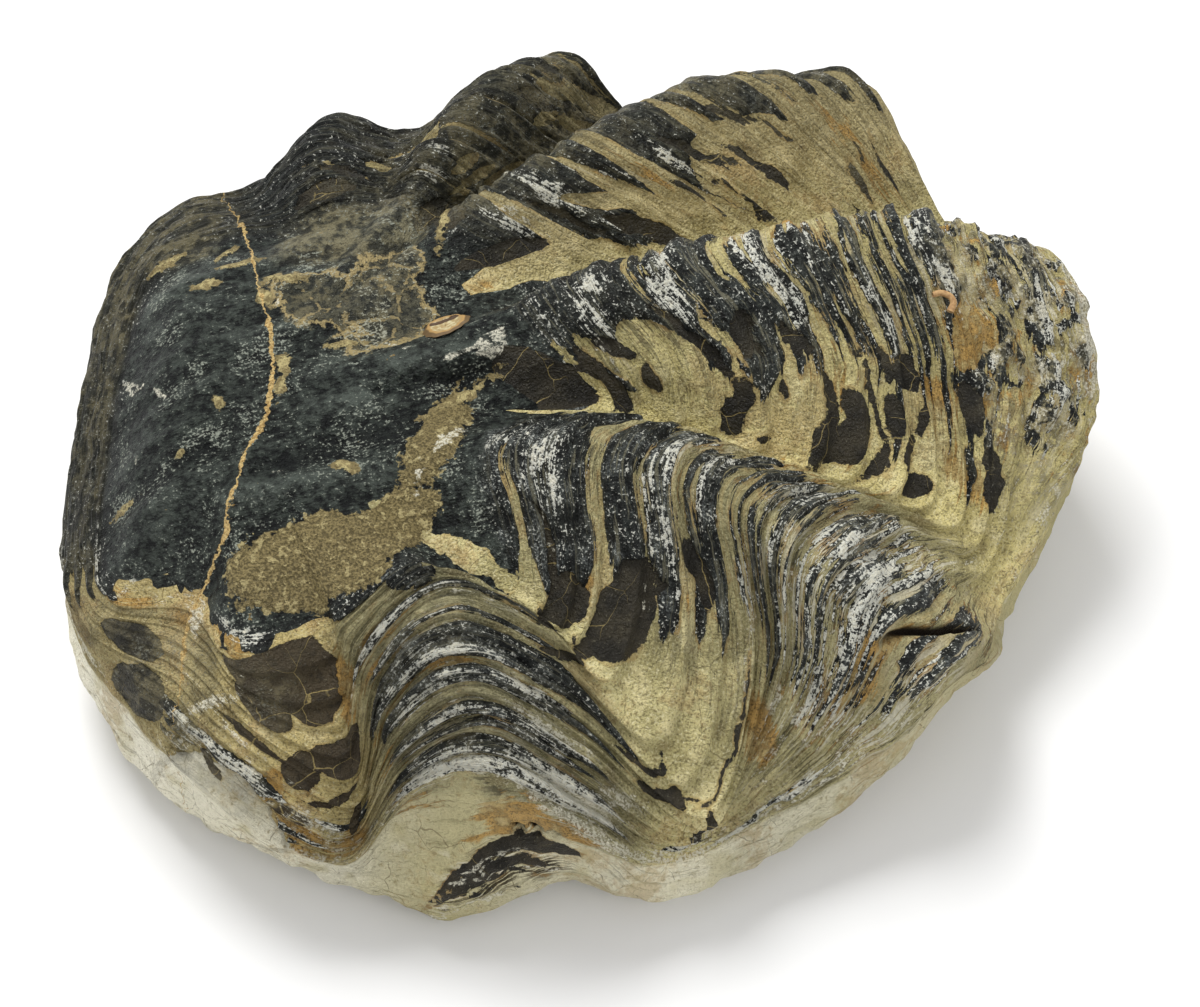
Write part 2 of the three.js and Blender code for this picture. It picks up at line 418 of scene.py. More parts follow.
# ---- Pools, chalk and rust -------------------------------------------------------------------------
# Where the sheets dip into a furrow the dark calcite swells into smooth brown-black pools, split by
# fine cracks that healed with gold calcite. Crests wear to white chalk, and iron stains the hollows.

# Each spot is a lens. Its place round the shell is counted in folds. Then come, in hundredths, its
# middle in growth, half its length in folds, half its width in growth and, where it doesn't follow the
# growth lines, its tilt and its bow. Growth past 100 lies on the side below the margin.
POOLS = [
    # the south-west block
    (11.52, 37, 31, 13.5, 15), (11.74, 76, 24, 20),
    # the south-west furrow, from the disc outwards
    (13.4, 7.5, 80, 8.5), (13.05, 20, 34, 9), (13.7, 13, 45, 7), (13.95, 32, 50, 7),
    (13.4, 44, 20, 12, -40), (12.95, 45.5, 42, 2.5), (13.75, 52, 34, 2, -28), (14.05, 66, 10, 11),
    (13.3, 76, 22, 4.5, -10), (12.5, 80, 12, 5, 30),
    # the south furrow
    (18.35, 12.5, 42, 6, 3), (17.5, 17, 60, 3, -18), (18.9, 8.5, 60, 1.4, -4), (18.6, 27.5, 57, 5.6, 5),
    (17.4, 29, 60, 1.5, -15), (17.9, 23.5, 35, 1.8, -3), (17.62, 46, 35, 1.2, -17),
    (17.65, 54, 22, 3.5, -25), (18.4, 51.5, 50, 0.6, 2), (19.25, 41, 24, 2.6, -7), (18.02, 72, 6, 20),
    # the smooth arrow between the south-east ridge and the east ridge
    (22.5, -14, 85, 11, -3), (22.45, 2.2, 62, 2.4, -1), (23.08, 7.5, 16, 2.2, -6),
    # the south-east furrow
    (22.7, 10.8, 18, 1.2), (22.5, 25, 36, 2.2, 2), (23.05, 23.5, 25, 1.4, -5), (22.2, 30, 6, 0.8),
    (22.75, 33.5, 8, 0.8), (22.45, 39.2, 60, 1.4), (22.35, 42.5, 28, 2.8, 5), (22.65, 43.5, 12, 2.4),
    (22.2, 47.5, 25, 1.2, 6), (22.7, 47.5, 35, 0.8, -3), (22.6, 52, 18, 2, 3), (22.95, 52, 14, 1.3, -5),
    (22.12, 57, 14, 3, 5), (22.38, 55, 15, 1.5, 2), (22.62, 58.5, 10, 1.8, 10), (22.93, 57, 13, 3.5),
    (22.45, 79, 18, 4, 10), (22.8, 76, 15, 2.5),
    # the east ridge's flank
    (23.2, 30, 22, 1.8, 3), (23.15, 36.5, 14, 1.2), (23.25, 21.3, 28, 1.2, -2),
    # the east furrow and the slope above it
    (1.57, -2, 10, 11, -60), (1.39, 24.8, 15, 2.8, -12), (1.6, 17.5, 20, 0.8, -2),
    (1.54, 39.2, 7, 1.1, -15), (1.42, 38.5, 8, 0.4, 12), (1.7, 47, 13, 1.8, -20), (1.53, 54, 14, 2.1, -8),
    (1.52, 44, 10, 0.5, -12), (1.36, 44.8, 9, 0.9, 15), (1.8, 61.5, 8, 2.2, -20),
    (1.66, 66, 10, 0.5, -15), (1.37, 76.5, 11, 1, 15), (1.38, 89, 16, 0.8, 10), (1.5, 83, 6, 0.6, 10),
    (1.22, 66, 5, 0.8),
    # the north-east furrow and the north ridge
    (2.3, 2, 35, 4), (3.15, 10, 30, 3), (3.25, -2, 40, 10), (6.1, 13, 50, 10), (5.75, 30, 30, 6, 10),
    (3.35, 63, 16, 4, -10), (3.68, 66, 14, 4, -15), (3.45, 77, 14, 4.5, -30), (3.8, 86, 12, 3, -20),
    (3.2, 90, 5, 5),
    # a dark fold of the lower valve, in the broken side below the south ridge
    (16.35, 120, 70, 3, -20, 20), (16.3, 127.5, 55, 2.2, -18, 20), (16.2, 133, 50, 1.4, -15, 20),
    (16.1, 137.5, 40, 1, -12, 20),
]
# olive mud that fills in between the sheets
MUDS = [
    (5.25, 45, 22, 6, 10), (5.7, 33, 50, 1.2, 20), (5.05, 62, 30, 5, -10), (4.5, 45, 30, 8, 30),
    (1.3, 8, 20, 11), (1.38, -5, 14, 17), (1.53, 30, 16, 3.5, -42), (3.3, 29, 13, 11), (3.5, 20, 5, 10),
    (3.66, 24, 7, 6), (3.36, 71, 13, 5, -20), (3.53, 62, 5, 6), (3.65, 78, 14, 4, -10),
    (3.45, 88, 28, 6, -12), (1.55, 30, 19, 4.2, -42), (1.42, 62, 36, 20, -10), (1.45, 86, 38, 16),
    (23.27, 78.5, 26, 4, 10), (22.75, 85, 30, 3, 10), (23.1, 88, 30, 0.8, 5), (22.6, -1.5, 62, 1.8, -3),
    (21.55, -3, 12, 20), (22.75, 7.5, 50, 3.5, -9), (22.9, 14.5, 52, 7), (23.2, 26.8, 22, 1, -5),
    (22.0, 10, 70, 10, 10), (20.7, 20, 55, 2.8), (21.7, 19, 80, 6, -6),
]
# broken blocks of dark sheet
BLOCKS = [
    (15.83, 10, 24, 13), (23.78, 76.5, 24, 4.5), (23.36, 84, 7, 2), (23.15, 83.5, 9, 2.2),
    (22.99, 78.5, 7, 2.5), (23.5, 91.5, 26, 1.2, 2), (22.62, 79.5, 20, 1.6, 6), (22.88, 91, 14, 1.2),
    (0.0, 90, 30, 1.2), (23.7, 87.5, 16, 1), (23.0, 94.5, 12, 1), (18.0, 89, 25, 2, -10),
    (18.5, 95.5, 30, 1.2), (22.45, 72, 12, 1.2, 10), (22.95, 72.5, 6, 1.2),
]
# crests and edges worn to white chalk
CHALKS = [
    (11.6, -1, 30, 2), (13.0, -7, 30, 2.5), (12.2, 0, 10, 6), (19.85, 8, 35, 1.4, 2),
    (19.8, 11, 30, 1.8, 2), (20.0, -5, 30, 2, 10), (20.1, 35.5, 50, 1, 3), (19.6, 33.5, 25, 1.2, -3),
    (20.5, 44.5, 30, 1.2), (20.3, 77, 80, 1.2), (20.0, 74, 40, 1, 2), (18.85, 70, 20, 3, 10),
    (20.4, 83, 90, 0.8), (20.3, 86, 70, 1.2), (19.7, 70, 50, 1, 3), (20.2, 80, 90, 0.6),
    (19.2, 53, 25, 1.2, 5), (19.85, 64, 22, 1.6, 10), (20.6, 60.5, 40, 1.4, -2), (20.5, 65.5, 50, 1.2),
    (18.95, 80, 20, 2, 20), (18.9, 88, 25, 2, 10), (23.83, 12, 13, 2.8, 3), (23.5, 8, 30, 1.2, 2),
    (23.75, 25, 25, 1.5, 4), (23.65, 38.5, 20, 0.8), (23.4, 55, 25, 1.2), (23.3, 93, 60, 2),
    (15.3, 27, 70, 2, 2), (16.3, 30, 30, 1.5), (15.1, 38, 15, 2, -5), (15.6, 52.5, 60, 2.2, -2),
    (15.3, 64, 50, 2), (16.5, 57, 30, 4, -8), (16.7, 68, 50, 5, -5), (15.5, 76.5, 50, 2, -2),
    (16.8, 88, 60, 7, -4), (15.6, 93, 60, 3, -3), (17.3, 75, 30, 6, -20), (12.45, 44, 40, 6, -74),
    (12.9, 64, 10, 6), (13.1, 53, 6, 3, 30), (13.2, 90, 30, 3), (22.1, 82, 30, 1.2, 12),
    (13.2, 97.5, 140, 5), (12.9, 82, 50, 3, 14), (11.0, 92, 50, 7), (11.5, 3, 60, 2), (12.1, 10, 10, 10),
    (12.7, 50, 50, 3, 10), (12.6, 66, 40, 3, 12), (13.9, 88, 30, 4, 10), (17.9, 93, 50, 4),
    (18.6, 96, 60, 3), (14.3, 90, 30, 3, 10), (1.75, 10, 20, 3), (1.8, 21.5, 18, 1.8, 3),
    (1.79, 32, 11, 0.7, -30), (1.65, 43, 6, 1), (3.85, 12, 20, 3), (4.0, 25.5, 12, 2), (23.6, 100, 80, 4),
    (22.3, 98, 50, 2), (23.58, 77.5, 6, 3), (23.85, 74, 20, 1), (17.5, 96.5, 150, 3.5),
    (16.2, 143, 65, 4, -12, 20), (16.3, 124, 50, 1.4, -19, 20), (16.25, 130, 45, 1.4, -15, 20),
    (17.0, 97, 280, 5), (15.5, 95.5, 80, 4), (18.0, 86, 35, 3, -20), (12.4, 70, 25, 5, -30),
    (23.55, -2, 30, 1),
]
# limestone stained with rust
RUSTS = [
    (11.3, 2, 35, 5), (11.95, 10, 12, 12), (12.85, -5, 30, 4), (14.9, 35, 30, 2, 10),
    (14.8, 55, 30, 2, 10), (15.0, 75, 30, 2), (18.7, -6, 20, 3), (18.65, 66, 16, 12),
    (19.4, 88.5, 50, 2, 1), (15.25, 28.5, 35, 3, 3), (15.7, 56.2, 70, 1.2), (22.35, 70, 17, 5, 8),
    (22.85, 66, 10, 5), (22.9, 76, 10, 3), (23.22, 78, 24, 6), (13.15, 62, 8, 10, -30),
    (13.6, 84, 25, 5, 5), (13.5, 95, 30, 4), (14.4, 17, 35, 10, 10), (16.5, 108, 45, 6, -20),
    (16.25, 110, 25, 6, -10), (16.85, 104, 25, 5, -20), (16.5, 100, 20, 3), (18.75, 15.5, 10, 4),
    (20.8, 55.5, 50, 1, -2), (21.5, 43, 40, 2, -18), (23.4, 42, 60, 0.8), (1.65, 36, 6, 2),
    (1.5, 83, 22, 2.5), (1.67, 36.5, 8, 2), (1.38, -14, 6, 5), (23.4, 77.5, 14, 3.5),
    (23.2, 77.5, 17, 4.5), (22.82, 69, 10, 4), (19.7, 87.5, 50, 3, 3), (22.6, -26, 50, 3, 10),
]
# open cracks
SLITS = [(20.4, 92.5, 75, 0.9, 5), (16.5, 112, 28, 1.4, -15)]
# where the sheets have broken away and the pale limestone is bare
BARE = [(12.75, 110, 64, 37)]
# the laminated stone round the lower valve's fold
NEST = [(16.3, 128, 80, 13, -17, 20)]
# brown-grey strips of weathered stone
WORN = [(12.3, 30, 17, 30), (11.4, 12, 40, 5), (11.1, 65, 25, 25), (12.2, 75, 15, 20)]


def lens_depth(lenses, roughness):
    """How deep inside the nearest lens each point is, in shares of growth; below 0 outside them."""
    deepest = np.full(here_shape, -1.0)
    bend = wobble + roughness * drawn_out(4, 0.05, 6)
    for place, *hundredths in lenses:
        middle, half_length, half_width, tilt, bow = [value / 100 for value in (*hundredths, 0, 0)[:5]]
        along = turns_past(place)[None, :]
        across = reach + bend - middle - tilt * along - bow * along**2
        deepest = np.maximum(deepest, half_width * (1 - np.hypot(along / half_length, across / half_width)))
    return deepest


pool = lens_depth(POOLS, 0.018)
chalk = lens_depth(CHALKS, 0.01)
rust = lens_depth(RUSTS, 0.04)
slit = lens_depth(SLITS, 0.0)
silt = lens_depth(MUDS, 0.012)

# rust seeps through the finely split ridges
seeping = 0.03 * region_weight(14.7, 23.9) * ramp(growth, 0.1, 0.3) * (splitting > 0.045)
rust = np.maximum(rust, seeping * (1 + 0.5 * clouds(12, 45)) - 0.05)

# the broken, frayed south-west corner
bare = ramp(lens_depth(BARE, 0.03), -0.01, 0.02)
nest = ramp(lens_depth(NEST, 0.03), 0.0, 0.05)
frayed = region_weight(11.9, 14.4) * ramp(growth, 0.5, 0.7) * (1 - ramp(side, 0, 0.1)) * (1 - bare)
chalk = np.maximum(chalk, frayed * (0.06 + 0.03 * drawn_out(7, 0.14, 52)) - 0.06) - 0.1 * bare
rust = np.maximum(rust, frayed * (0.06 + 0.05 * drawn_out(7, 0.17, 53)) - 0.065)
mud = mud - frayed * (0.06 + 0.06 * drawn_out(9, 0.12, 54)) + 0.3 * bare

# the far east end: a jumble of broken sheets, chalk and rusty limestone
jumble = ramp(growth + 0.04 * clouds(6, 44), 0.74, 0.82) * region_weight(22.55, 24.6)
jumble *= 1 - ramp(side, 0, 0.15)
mud = mud - 0.03 * jumble * (clouds(2.6, 41) - 0.1)
mud = np.minimum(mud, layer_depth - lens_depth(BLOCKS, 0.02))
chalk = np.maximum(chalk, jumble * (0.028 + 0.045 * clouds(2.2, 42)) - 0.045)
rust = np.maximum(rust, jumble * (0.03 + 0.06 * clouds(3, 43)) - 0.05) - 0.1 * bare


# ---- The smooth disc's marks -----------------------------------------------------------------------
# The first, unfolded part of the shell: charcoal, with a healed crack of ochre calcite across it, a patch
# of brown sandstone that still clings to it, and a crust by the hinge netted with gold. Millimetres,
# from above.

VEIN = [
    (-73, 46), (-67, 28), (-64, 15), (-61, 4), (-60, -9), (-61, -18), (-64, -26), (-67, -41), (-74, -51),
    (-76, -61),
]
VEIN_REACH = 3.0

# Low waves: both ends, half the width and the rise of each, and the size of the finer ones.
ROLLS = [
    (-36, -6, -16, -2, 2.2, 1.3), (-39, -11, -18, -7, 2.0, -1.8), (-52, -15, -29, -10, 3.0, 1.0),
    (-60, -29, -33, -20, 3.0, -1.2), (-66, -36, -44, -29, 3.0, 0.9), (-95, -20, -70, -8, 3.0, 0.8),
    (-92, -34, -72, -24, 3.0, -0.8),
]
ROLL_LENGTH = 24
ROLL_WIDTH = 6

FAR_OUTSIDE = -20.0  # the depth of a point that lies in no oval at all

# Ovals: the middle, half the length, half the width and the heading in degrees.
SAND = [(-50, -47, 17, 8.5, 8), (-37, -42, 13, 6, 50), (-28, -22, 14, 5, 65)]
CRUST = [(-50, 12, 13, 8, -20), (-39, 10, 9, 8, -20), (-43, 2, 8, 3.5, 5), (-40, 19, 8, 7, 20)]
MOTTLED = [(-47, 31, 18, 13, 0), (-80, 30, 12, 7, 40)]
CLINGING = [
    (-33, -41, 5, 1.8, 12), (-22, -45.5, 7, 2.6, -25), (-15, -49.5, 4, 2.0, -35), (-38, -37, 3, 2.5, 0),
]
WHITES = [
    (-57, -29, 3, 0.6, 20), (-75, -38, 4, 0.4, 10), (-92, -34, 4, 0.35, 3), (-70, -20, 2, 0.5, 40),
    (-50, -20, 4, 0.5, 15), (-17.5, -2.3, 4, 2.6, 20), (-26, -4.5, 6, 0.7, 12), (-84, -7, 6, 1.0, -45),
    (-89, -3, 4, 1.0, -60), (-36, -1, 3, 0.7, -20), (-60, 12, 2, 0.7, 60), (-31, -31, 5, 1.0, 80),
    (-25, -23, 5, 1.5, 45), (-95, -41, 4, 0.5, 5), (-87, -44, 3.5, 0.6, 20), (-86, -23, 2, 0.8, 60),
]
CREAM = [
    (-58, -4, 1.5, 2.5, 10), (-58.5, -10, 1.2, 2.5, -10), (-69, 23, 4, 1.0, 20), (-75, 17, 3, 1.2, 20),
    (-23.5, -11.5, 8, 1.0, 33), (-59, 17.5, 4.5, 1.2, -5), (-63, 13, 1.8, 2.2, 0), (-83, 26, 4, 0.9, 40),
    (-72, 27, 3, 0.8, 60), (-46, 1, 5, 0.9, 4), (-27.5, 33.5, 10, 1.2, 80), (-70, -13, 1, 1.6, 20),
    (-45, -28.5, 2.6, 1.4, -20), (-77, -24, 1.4, 0.8, 30), (-88, -30, 2.6, 0.9, 10),
]


def away_from(start, end):
    """How far east and north of a straight line each point is, seen from above."""
    start, way = np.array(start, float), np.subtract(end, start).astype(float)
    from_start = smooth_form[..., :2] - start
    share = np.clip(from_start @ way / (way @ way), 0, 1)
    return from_start - share[..., None] * way


def vein_offset(line):
    """How far to the side of a line across the disc each point is, signed, and VEIN_REACH beyond it."""
    nearest = np.full(here_shape, np.inf)
    offset = np.full(here_shape, VEIN_REACH)
    for start, end in zip(line, line[1:]):
        away = away_from(start, end)
        distance = np.hypot(away[..., 0], away[..., 1])
        side_of_line = (end[0] - start[0]) * away[..., 1] - (end[1] - start[1]) * away[..., 0]
        closer = distance < nearest
        nearest = np.where(closer, distance, nearest)
        offset = np.where(closer, np.copysign(distance, side_of_line), offset)
    return np.clip(offset, -VEIN_REACH, VEIN_REACH)


def plan_depth(ovals):
    """How deep inside the nearest oval seen from above each point is, in millimetres."""
    deepest = np.full(here_shape, FAR_OUTSIDE)
    for x, y, half_length, half_width, heading in ovals:
        angle = math.radians(heading)
        east, north = smooth_form[..., 0] - x, smooth_form[..., 1] - y
        along = east * math.cos(angle) + north * math.sin(angle)
        across = north * math.cos(angle) - east * math.sin(angle)
        depth = min(half_length, half_width) * (1 - np.hypot(along / half_length, across / half_width))
        deepest = np.maximum(deepest, depth)
    return np.where(side > 0, FAR_OUTSIDE, deepest)


def rolled(rolls):
    """The height of the low waves that run over the disc: those listed and finer ones beside them."""
    height = np.zeros(here_shape)
    for x0, y0, x1, y1, half_width, rise in rolls:
        away = np.linalg.norm(away_from((x0, y0), (x1, y1)), axis=2)
        height += rise * np.exp(-((away / half_width) ** 2))
    east, north = smooth_form[..., 0], smooth_form[..., 1]
    waves = np.stack([(east + north / 3) / ROLL_LENGTH, (north - east / 3) / ROLL_WIDTH, 0 * east], axis=-1)
    return height + 0.8 * lumps(1.0, 14, waves) + 0.35 * lumps(1.0, 15, waves * 2.3)


roll = rolled(ROLLS) * (1 - ramp(growth, -0.15, 0.1))
vein = vein_offset(VEIN)
sand = plan_depth(SAND) + 1.2 * lumps(4, 11)
crust = plan_depth(CRUST) + 2.0 * lumps(7, 12)
cream = plan_depth(CREAM) + 0.5 * lumps(2, 13)
silt = np.maximum(silt, 0.01 * (plan_depth(CLINGING) + 1.0 * lumps(2.5, 17)))
white = np.minimum(0.08 * plan_depth(WHITES), 0.03) + 0.02 * lumps(2, 16)

# white chalk strewn over the crests of the east ridge and the south ridge
east_crest, south_crest = (
    ramp(turns_past(first), 0, 0.4) * (1 - ramp(turns_past(last), 0, 0.4))
    for first, last in ((22.95, 23.95), (14.8, 16.7))
)
crest = 0.75 * east_crest + 0.85 * south_crest
strewn = 0.06 * crest * ramp(growth, 0.1, 0.4) - 0.062 + 0.009 * drawn_out(5, 0.05, 51)
chalk = np.maximum(chalk, strewn - side)
chalk = np.where(growth < 0.05, np.maximum(chalk, white), chalk)


# ---- Relief and mesh -------------------------------------------------------------------------------
# The hard dark sheets stand proud of the softer limestone, and the growth ledges step down outwards.
# The disc is rubbed smooth, and the side and underside are rough broken limestone.

LEDGE_ENDS = (0.07, 0.16, 0.22, 0.31, 0.4, 0.46, 0.55, 0.62, 0.71, 0.79, 0.87, 1)  # in growth
LEDGE_HEIGHT = 18  # in millimetres per whole share of growth
LEDGE_SCARP = 0.16  # the share of a ledge taken by its step
OPEN_LENGTH = 50  # fold lines shorter than this have lower ledges
SHEET_STEP = 1.1
MUD_STEP = 0.35
POOL_STEP = 0.4
SHEET_DOME = 0.012  # the growth in which a sheet rises from its joint to its full height
LAMINA_STEP = 0.45
NEST_STEP = 0.9
SLIT_DEPTH = 3.0
VEIN_RISE = 0.35
SAND_RISE = 0.5
CREAM_RISE = 0.4
TRIANGLES = 192000  # in the mesh of the body

fold_lengths = np.linalg.norm(np.diff(along_curve(stages, np.linspace(0, 1, 50)), axis=0), axis=2).sum(axis=0)
openness_at_folds = np.minimum(1, fold_lengths / OPEN_LENGTH) ** 2
openness = np.interp(turns, np.arange(len(FOLDS) + 1), [*openness_at_folds, openness_at_folds[0]])

ledge_growths = [0.0]
ledge_lifts = [0.0]
ledge_start = 0.0
for ledge_end in LEDGE_ENDS:
    width = ledge_end - ledge_start
    rise = LEDGE_HEIGHT * width / 2
    ledge_growths += [ledge_end - LEDGE_SCARP * width, ledge_end]
    ledge_lifts += [rise, -rise]
    ledge_start = ledge_end
ledge_lifts[-1] = 0.0

on_fold = ramp(growth, -0.1, 0.05) * (1 - ramp(side, 0, 0.1))
on_side = np.sin(np.pi * np.clip(side, 0, 1)) ** 0.6
dark = np.maximum(np.minimum(layer_depth - mud, -silt), pool)
dome = np.sqrt(np.clip(np.abs(dark) / SHEET_DOME, 0, 1)) * np.where(dark > 0, SHEET_STEP, MUD_STEP)
dome = np.where(pool > 0, np.minimum(dome, POOL_STEP), dome)
groove = LAMINA_STEP * lamina * (0.2 + 0.8 * ramp(laminae, 0.004, 0.04))
relief = np.interp(growth, ledge_growths, ledge_lifts) * openness * (growth < 1)
relief = relief + (dome + groove * (1 - ramp(pool, -0.004, 0.004))) * on_fold + roll
for height, size, seed in (
    (0.2 + 0.4 * on_fold, 6, 21), (0.1 + 0.15 * on_fold, 2.2, 22),
    (1.3 * on_side, 11, 23), (0.8 * on_side, 4.5, 24), (0.3 * on_side, 2, 28),
):
    relief += height * lumps(size, seed)
relief += 0.45 * on_side * lumps(3, 25, smooth_form * (1, 1, 3))
relief -= NEST_STEP * nest * drawn_out(9, 0.03, 55)
relief += VEIN_RISE * (1 - ramp(np.abs(vein), 0.4, 1.0)) * (growth < 0)
relief += SAND_RISE * ramp(sand, 0, 1.5) + CREAM_RISE * ramp(cream, 0, 0.6)
relief += ramp(crust, 0, 1.5) * (0.35 + 0.5 * lumps(3.5, 26))
relief += 1.2 * jumble * clouds(3.5, 27, 2) + 1.5 * ramp(pool, 0, 0.03) * on_side
relief -= SLIT_DEPTH * ramp(slit, 0, 0.006)
relief = np.where(on_base, 0, relief) * (1 - ramp(side, 0.97, 1))

down = np.gradient(smooth_form, axis=0)
onward = np.roll(smooth_form, -1, axis=1) - np.roll(smooth_form, 1, axis=1)
outward = np.cross(down, onward)
outward /= np.maximum(np.linalg.norm(outward, axis=2, keepdims=True), 1e-9)
surface = smooth_form + outward * relief[..., None]
surface[..., 2] = np.where(on_base, 0, np.maximum(surface[..., 2], 0))

points = np.concatenate([[beak], surface.reshape(-1, 3), [(0, 0, 0)]]) * MM
rings = 1 + np.arange(surface[..., 0].size).reshape(here_shape)


def ring_faces(rings):
    """Quads between closed rings of points, which are given by their numbers."""
    beside = np.roll(rings, -1, axis=1)
    return np.stack([rings[:-1], rings[1:], beside[1:], beside[:-1]], axis=-1).reshape(-1, 4).tolist()


quads = ring_faces(rings)
beak_fan = [(0, a, b) for a, b in zip(rings[0], np.roll(rings[0], -1))]
base_fan = [(a, len(points) - 1, b) for a, b in zip(rings[-1], np.roll(rings[-1], -1))]


def at_points(values):
    """A value at each point of the mesh, where the beak and the middle of the base have means."""
    spread = np.broadcast_to(values, here_shape)
    return np.concatenate([[spread[0].mean()], spread.ravel(), [spread[-1].mean()]])


def thinned(mesh, ratio):
    """The mesh with the share of its faces that is given, kept where the surface bends most."""
    fine = bpy.data.objects.new("fine_" + mesh.name, mesh)
    bpy.context.collection.objects.link(fine)
    fine.modifiers.new("fewer_faces", "DECIMATE").ratio = ratio
    fewer = fine.evaluated_get(bpy.context.evaluated_depsgraph_get())
    thin = bpy.data.meshes.new_from_object(fewer)
    bpy.data.objects.remove(fine)
    return thin


# how far brown-grey weathering hides the bands
weathered = np.clip(weathering_share + 0.3 * clouds(8, 34), 0, 1) * ramp(growth, -0.05, 0.1)
near_slope = 1 - ramp(turns_past(1.85), 0, 0.3)
weathered *= np.where(turns_past(4) < 0, 1 - near_slope * (0.7 - 0.4 * ramp(growth, 0.4, 0.8)), 1)
weathered = np.maximum(weathered, 0.8 * ramp(lens_depth(WORN, 0.03), -0.01, 0.03))
mottled = ramp(plan_depth(MOTTLED) + 3 * clouds(8, 35), 0, 4) * (turns_past(2.3)[None, :] > 0)
weathered = np.maximum(weathered, 0.75 * mottled) * (1 - ramp(side, 0, 0.1))

MARKS = {
    "layer": layer_growth, "mud": mud, "silt": silt, "pool": pool, "chalk": chalk, "rust": rust,
    "slit": slit, "reach": reach + 0.4 * bare, "laminae": laminae, "grey_mud": grey_mud,
    "paleness": paleness, "weathered": weathered, "rubble": jumble, "nest": nest, "vein": vein,
    "sand": sand, "crust": crust, "cream": cream, "roll": roll,
    "south_west": region_weight(12.4, 14.8) - region_weight(10.6, 12.2),
    "broad_cloud": clouds(11, 31), "middle_cloud": clouds(5, 32), "small_cloud": clouds(2.6, 33, 2),
    **{name: regions[name] for name in REGION_EDGES},
}
marks = {name: at_points(values) for name, values in MARKS.items()}
fine_mesh = new_mesh("fossil_body_fine", points.tolist(), quads + beak_fan + base_fan, marks)
body_mesh = thinned(fine_mesh, TRIANGLES / (2 * len(quads) + 2 * COLUMNS))


# ---- The stone's finish ----------------------------------------------------------------------------
# Worn calcite and limestone: charcoal sheets with a soft gloss, a painted blue-grey sheen and white
# scratches, dull olive stone with a sandy grain, brown-black pools cracked with gold, rust in the hollows,
# and painted light and shade on the disc's low waves.

RAMP_STOPS = 32  # the most stops that one colour ramp holds


def paint(colour):
    """A colour's light values, from its red, green and blue on a screen."""
    return tuple(((value / 255 + 0.055) / 1.055) ** 2.4 for value in colour) + (1.0,)


class Finish:
    """A material and short ways to join its nodes. A value is a number or a node's output. A colour is a
    node's output or its red, green and blue on a screen, from 0 to 255."""

    def __init__(self, name):
        self.material = bpy.data.materials.new(name)
        self.material.use_nodes = True
        self.tree = self.material.node_tree
        self.skin = self.tree.nodes["Principled BSDF"]
        place = self.tree.nodes.new("ShaderNodeTexCoord").outputs["Object"]
        self.place = self.node("ShaderNodeVectorMath", {0: place, 3: 1 / MM}, operation="SCALE").outputs[0]

    def feed(self, socket, value):
        if isinstance(value, bpy.types.NodeSocket):
            self.tree.links.new(value, socket)
        else:
            socket.default_value = value

    def node(self, kind, values, **settings):
        made = self.tree.nodes.new(kind)
        for name, setting in settings.items():
            setattr(made, name, setting)
        for socket, value in values.items():
            self.feed(made.inputs[socket], value)
        return made

    def calc(self, operation, *values):
        return self.node("ShaderNodeMath", dict(enumerate(values)), operation=operation).outputs[0]

    def times(self, value, *factors):
        for factor in factors:
            value = self.calc("MULTIPLY", value, factor)
        return value

    def added(self, value, *parts):
        """The value and, on top of it, each part times the factor beside it."""
        for part, factor in parts:
            value = self.calc("MULTIPLY_ADD", part, factor, value)
        return value

    def step(self, value, low, high, start=0.0, end=1.0):
        limits = {"Value": value, "From Min": low, "From Max": high, "To Min": start, "To Max": end}
        return self.node("ShaderNodeMapRange", limits, interpolation_type="SMOOTHSTEP").outputs[0]

    def mix(self, share, first, second):
        parts = {0: share}
        for socket, colour in ((6, first), (7, second)):
            parts[socket] = paint(colour) if isinstance(colour, tuple) else colour
        return self.node("ShaderNodeMix", parts, data_type="RGBA").outputs[2]

    def coated(self, ground, *coats):
        """The ground under coats of colour. A coat's share rises to its most as its value goes from the
        first limit to the second, and may be held back by a further share."""
        for value, first, second, most, colour, *held_back in coats:
            share = self.times(self.step(value, first, second, 0, most), *held_back)
            ground = self.mix(share, ground, colour)
        return ground

    def noise(self, size, detail=2.0, roughness=0.5):
        """Cloudy noise from about 0.3 to 0.7, in spots of the size given in millimetres."""
        values = {"Vector": self.place, "Scale": 1 / size, "Detail": detail, "Roughness": roughness}
        return self.node("ShaderNodeTexNoise", values).outputs[0]

    def streaks(self, across, length, frequency, detail=2.0):
        """Noise drawn out along the growth lines: its length in millimetres, its change per growth."""
        drift = self.added(0, (across, frequency * length))
        values = {"Vector": self.place, "W": drift, "Scale": 1 / length, "Detail": detail, "Roughness": 0.72}
        return self.node("ShaderNodeTexNoise", values, noise_dimensions="4D").outputs[0]

    def mark(self, name):
        return self.node("ShaderNodeAttribute", {}, attribute_name=name).outputs["Fac"]

    def curve(self, value, points, limit):
        """A value from straight lines through the points, at most the limit either way."""
        height = 0
        for first in range(0, len(points) - 1, RAMP_STOPS - 1):
            part = points[first:first + RAMP_STOPS]
            low, high = part[0][0], part[-1][0]
            share = self.node("ShaderNodeMapRange", {"Value": value, "From Min": low, "From Max": high})
            band = self.node("ShaderNodeValToRGB", {"Fac": share.outputs[0]})
            stops = band.color_ramp.elements
            while len(stops) < len(part):
                stops.new(0.5)
            for stop, (place, depth) in zip(stops, part):
                stop.position = (place - low) / (high - low)
                stop.color = (0.5 + depth / limit / 2,) * 3 + (1,)
            shift = -limit - (part[0][1] if first else 0)
            height = self.added(height, (self.added(shift, (band.outputs["Color"], 2 * limit)), 1))
        return height


